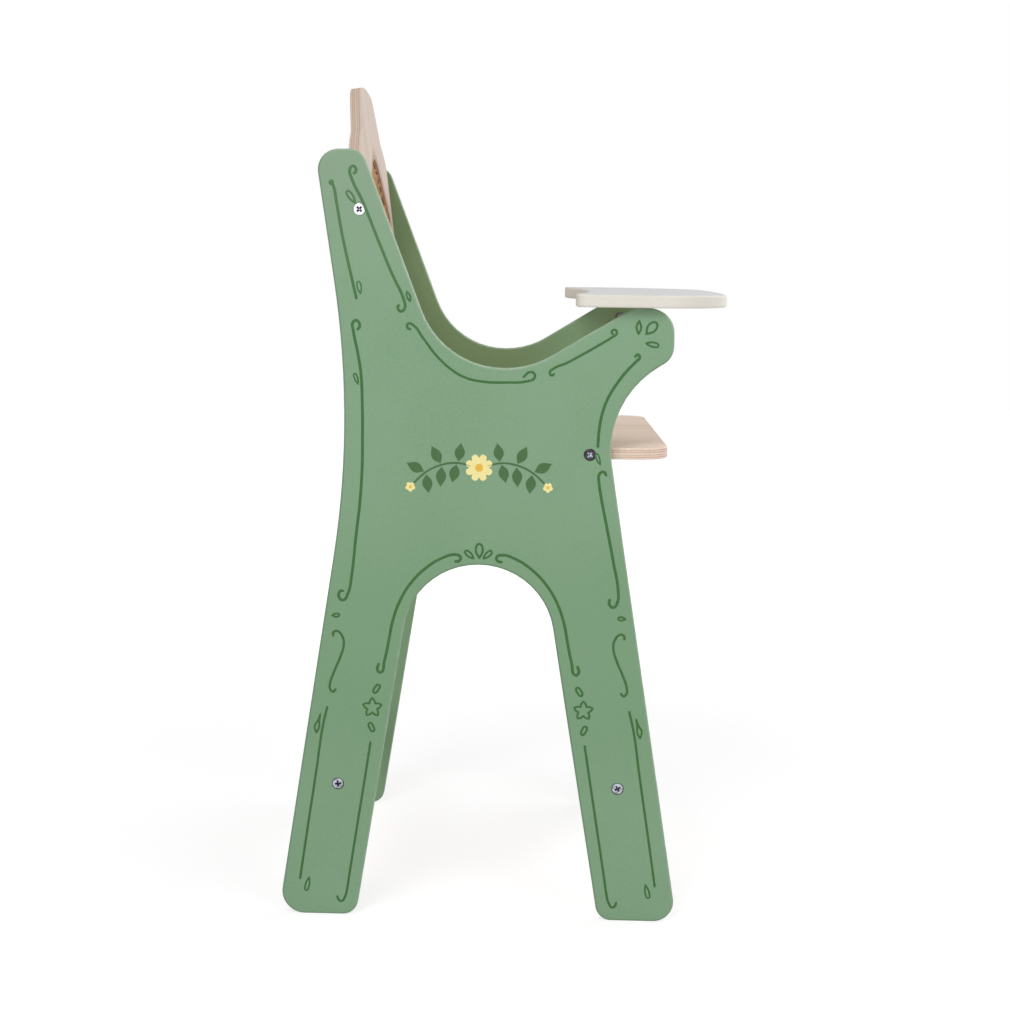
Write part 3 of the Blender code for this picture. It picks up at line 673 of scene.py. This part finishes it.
# Dowel pins
# Short turned pins of plain beech, glued half into a panel and half into the board beside it.
# Each end of the seat and of the backrest has one, and each end of a rail has two.
pin_beech, pin = new_finish("pin_beech")
spot = pin.node("ShaderNodeTexCoord", {}, {}, "Object")
pin_space = spot.scaled((90.0, 1500.0, 1500.0))
pin_fibres = cloud(pin_space, 1.0, 3.0, 0.6)
pin_bump = pin.node("ShaderNodeBump", {}, {"Strength": 0.2, "Distance": 0.0002, "Height": pin_fibres})
coat(pin, {"Base Color": blended(pin_fibres.between(0.3, 0.75), (0.62, 0.43, 0.28), (0.47, 0.30, 0.18)),
           "Roughness": pin_fibres * 0.15 + 0.5, "Normal": pin_bump})
for name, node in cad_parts.items():
    if "_dowel_" in name:
        node.material_slots[0].material = pin_beech


# Screws
# Countersunk machine screws with a cross recess and a rolled thread, zinc plated, the seat's
# smoked dark. Each head sits just under the face of its panel or of the tray. Each recess is painted
# shade, and so is each head's rim but the backrest screws'; the seat screws' recesses carry a
# painted glint instead.
head_radius = 3.8 * mm
head_rim = 0.3 * mm
shank_radius = 1.78 * mm
thread_radius = 2.0 * mm
thread_pitch = 0.7 * mm
neck_depth = head_rim + head_radius - shank_radius
head_slope = 0.15 * mm
head_slope_run = 0.35 * mm
tip_chamfer = 0.5 * mm
thread_foot = 0.28 * mm
thread_sink = 0.05 * mm
thread_steps = 12
head_steps = 48
recess_span = 4.3 * mm
recess_width = 1.35 * mm
recess_depth = 1.6 * mm
recess_rise_share = 0.05
recess_taper_shares = (0.5, 0.75, 1.0)
heart_radius = 1.0 * mm
heart_depth = 2.0 * mm
skin = 0.02 * mm


def zinc(name, bright, dull, scuffed, roughness):
    """Zinc plate, a little clouded, with fine dark specks and scratches."""
    material, shader = new_finish(name)
    spot = shader.node("ShaderNodeTexCoord", {}, {}, "Object")
    clouded = cloud(spot, 330.0, 4.0, 0.65)
    plate = blended(clouded.between(0.4, 0.62), bright, dull)
    plate = blended(cloud(spot, 1100.0, 2.0).between(0.55, 0.8) * scuffed, plate, (0.10, 0.09, 0.085))
    scratches = shader.node("ShaderNodeBump", {}, {"Strength": 0.15, "Distance": 0.0001,
                                                   "Height": cloud(spot, 1800.0, 3.0)})
    coat(shader, {"Base Color": plate, "Metallic": 1.0, "Roughness": clouded * 0.15 + roughness,
                  "Normal": scratches})
    return material


def cut(piece, cutter):
    """Takes the cutter out of the piece, which gets a new mesh, and deletes the cutter."""
    change = piece.modifiers.new("cut", "BOOLEAN")
    change.object = cutter
    change.operation = "DIFFERENCE"
    change.solver = "EXACT"
    bpy.context.view_layer.update()
    mesh = bpy.data.meshes.new_from_object(piece.evaluated_get(bpy.context.evaluated_depsgraph_get()))
    piece.modifiers.clear()
    piece.data = mesh
    bpy.data.objects.remove(cutter)


def turned_form(profile, steps):
    """A closed body turned from a half profile of (radius, height) points about Z."""
    form = bmesh.new()
    corners = [form.verts.new((radius, 0.0, height)) for radius, height in profile]
    edges = [form.edges.new(pair) for pair in zip(corners, corners[1:])]
    bmesh.ops.spin(form, geom=corners + edges, angle=math.tau, steps=steps, axis=(0, 0, 1),
                   cent=(0, 0, 0), use_merge=True)
    bmesh.ops.remove_doubles(form, verts=form.verts, dist=0.000001)
    bmesh.ops.recalc_face_normals(form, faces=form.faces)
    return form


def made_object(name, form):
    """The form as an object of its own."""
    mesh = bpy.data.meshes.new(name)
    form.to_mesh(mesh)
    form.free()
    piece = bpy.data.objects.new(name, mesh)
    bpy.context.scene.collection.objects.link(piece)
    return piece


def cross_screw(name, length, recess_turn, materials):
    """A screw with its head's face at the origin, facing +Z, and finishes for body, recess and rim,
    the last two mostly painted shade.
    """
    body = turned_form([(0.0, 0.0), (head_radius - head_slope_run, 0.0), (head_radius, -head_slope),
                        (head_radius, -head_rim), (shank_radius, -neck_depth),
                        (shank_radius, tip_chamfer - length), (shank_radius - tip_chamfer, -length),
                        (0.0, -length)], head_steps)
    piece = made_object(name, body)
    for turn in (recess_turn, recess_turn + 90.0):
        arm = bmesh.new()
        bmesh.ops.create_cube(arm, size=1.0)
        bmesh.ops.translate(arm, verts=arm.verts, vec=(0.0, 0.0, recess_rise_share - 0.5))
        bmesh.ops.scale(arm, verts=arm.verts, vec=(recess_span, recess_width, recess_depth))
        low = [corner for corner in arm.verts if corner.co.z < 0]
        bmesh.ops.scale(arm, verts=low, vec=recess_taper_shares)
        bmesh.ops.rotate(arm, verts=arm.verts, cent=(0, 0, 0),
                         matrix=Matrix.Rotation(math.radians(turn), 3, "Z"))
        cut(piece, made_object("arm", arm))
    heart = bmesh.new()
    bmesh.ops.create_cone(heart, cap_ends=True, segments=12, radius1=heart_radius / 3,
                          radius2=heart_radius * 1.4, depth=heart_depth * 2)
    cut(piece, made_object("heart", heart))
    ridge = bmesh.new()
    start = -neck_depth - thread_pitch
    turns = int((length - neck_depth - 3 * thread_pitch) / thread_pitch)
    corners = [ridge.verts.new((radius, 0.0, start + height))
               for radius, height in ((shank_radius - thread_sink, thread_foot), (thread_radius, 0.0),
                                      (shank_radius - thread_sink, -thread_foot))]
    section = ridge.faces.new(corners)
    bmesh.ops.spin(ridge, geom=[section], angle=math.tau * turns, steps=turns * thread_steps,
                   axis=(0, 0, 1), cent=(0, 0, 0), dvec=(0, 0, -thread_pitch / thread_steps),
                   use_duplicate=False)
    bmesh.ops.recalc_face_normals(ridge, faces=ridge.faces)
    whole = bmesh.new()
    whole.from_mesh(piece.data)
    spare = bpy.data.meshes.new("thread")
    ridge.to_mesh(spare)
    ridge.free()
    whole.from_mesh(spare)
    bpy.data.meshes.remove(spare)
    whole.to_mesh(piece.data)
    whole.free()
    piece.data.materials.clear()
    for material in materials:
        piece.data.materials.append(material)
    for face in piece.data.polygons:
        out = face.center.xy.length
        if -heart_depth < face.center.z < -skin:
            face.material_index = 1 if out < recess_span / 2 else 2 if out > head_radius * 0.9 else 0
    return piece


bright_zinc = zinc("bright_zinc", (0.95, 0.96, 0.97), (0.88, 0.89, 0.91), 0.1, 0.22)
plain_zinc = zinc("plain_zinc", (0.56, 0.56, 0.66), (0.27, 0.27, 0.31), 0.5, 0.28)
smoked_zinc = zinc("smoked_zinc", (0.085, 0.062, 0.070), (0.040, 0.030, 0.033), 0.6, 0.35)
# Painted shade for recesses and head rims.
recess_shade = zinc("recess_shade", (0.085, 0.10, 0.125), (0.035, 0.04, 0.05), 0.4, 0.45)
recess_glint = zinc("recess_glint", (0.80, 0.90, 1.0), (0.14, 0.16, 0.20), 0.7, 0.3)
side_length = 35.0 * mm
tray_length = 28.0 * mm
for place_name, recess_turn, materials in (
    ("backrest", 46.0, (bright_zinc, recess_shade, bright_zinc)),
    ("seat", 52.0, (smoked_zinc, recess_glint, recess_shade)),
    ("rear_rail", 8.0, (plain_zinc, recess_shade, recess_shade)),
    ("front_rail", 28.0, (plain_zinc, recess_shade, recess_shade)),
):
    for hand, side in (("right", -1), ("left", 1)):
        node = place_name + "_screw_" + hand
        low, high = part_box(node)
        head = Vector((low.x if side < 0 else high.x, (low.y + high.y) / 2, (low.z + high.z) / 2))
        piece = cross_screw("cross_" + node, side_length, recess_turn, materials)
        outwards = Matrix.Rotation(math.radians(90.0 * side), 4, "Y")
        piece.data.transform(Matrix.Translation(head) @ outwards)
        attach(piece, "root")
        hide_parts(node)
for hand, side in (("right", -1), ("left", 1)):
    node = "tray_screw_" + hand
    low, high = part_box(node)
    axis = Vector((0.0, -math.sin(tray_lean), math.cos(tray_lean)))
    head_rise = axis * (tray_length / 2)
    head = (low + high) / 2 + head_rise - axis * (head_radius * math.sin(tray_lean) / 2)
    piece = cross_screw("cross_" + node, tray_length, 20.0, (plain_zinc, recess_shade, recess_shade))
    piece.data.transform(Matrix.Translation(head) @ Matrix.Rotation(tray_lean, 4, "X"))
    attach(piece, "root")
    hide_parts(node)


# Barrel nuts
# Short steel barrels pushed into blind holes in the boards, with a cross bore for the screw and
# a slot in the end that shows, to turn them in line.
nut_reach = 3.0 * mm
slot_length = 12.0 * mm
slot_width = 1.1 * mm
slot_depth = 0.9 * mm
nut_zinc = zinc("nut_zinc", (0.24, 0.22, 0.23), (0.11, 0.10, 0.10), 0.7, 0.3)
for node_name in sorted(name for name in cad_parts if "_nut_" in name):
    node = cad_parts[node_name]
    form = bmesh.new()
    form.from_mesh(node.data)
    bmesh.ops.remove_doubles(form, verts=form.verts, dist=0.00001)
    piece = made_object("slotted_" + node_name, form)
    piece.data.materials.clear()
    piece.data.materials.append(nut_zinc)
    low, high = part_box(node_name)
    middle = (low + high) / 2
    if node_name.startswith("tray"):
        outward = Vector((-math.copysign(1.0, middle.x), 0.0, 0.0))
    elif node_name.startswith("seat"):
        outward = Vector((0.0, 0.0, -1.0))
    elif node_name.startswith("backrest"):
        outward = Vector((0.0, math.cos(back_lean), -math.sin(back_lean)))
    elif node_name.startswith("rear"):
        outward = Vector((0.0, -math.cos(leg_lean), -math.sin(leg_lean)))
    else:
        outward = Vector((0.0, math.cos(leg_lean), -math.sin(leg_lean)))
    bar = bmesh.new()
    blade = bmesh.ops.create_cube(bar, size=1.0)["verts"]
    bmesh.ops.scale(bar, verts=blade, vec=(slot_length, slot_width, slot_depth * 2))
    cutter = made_object("slot", bar)
    facing = outward.to_track_quat("Z", "X").to_matrix().to_4x4()
    cutter.data.transform(Matrix.Translation(middle + outward * nut_reach) @ facing)
    cut(piece, cutter)
    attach(piece, "root")
    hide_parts(node_name)
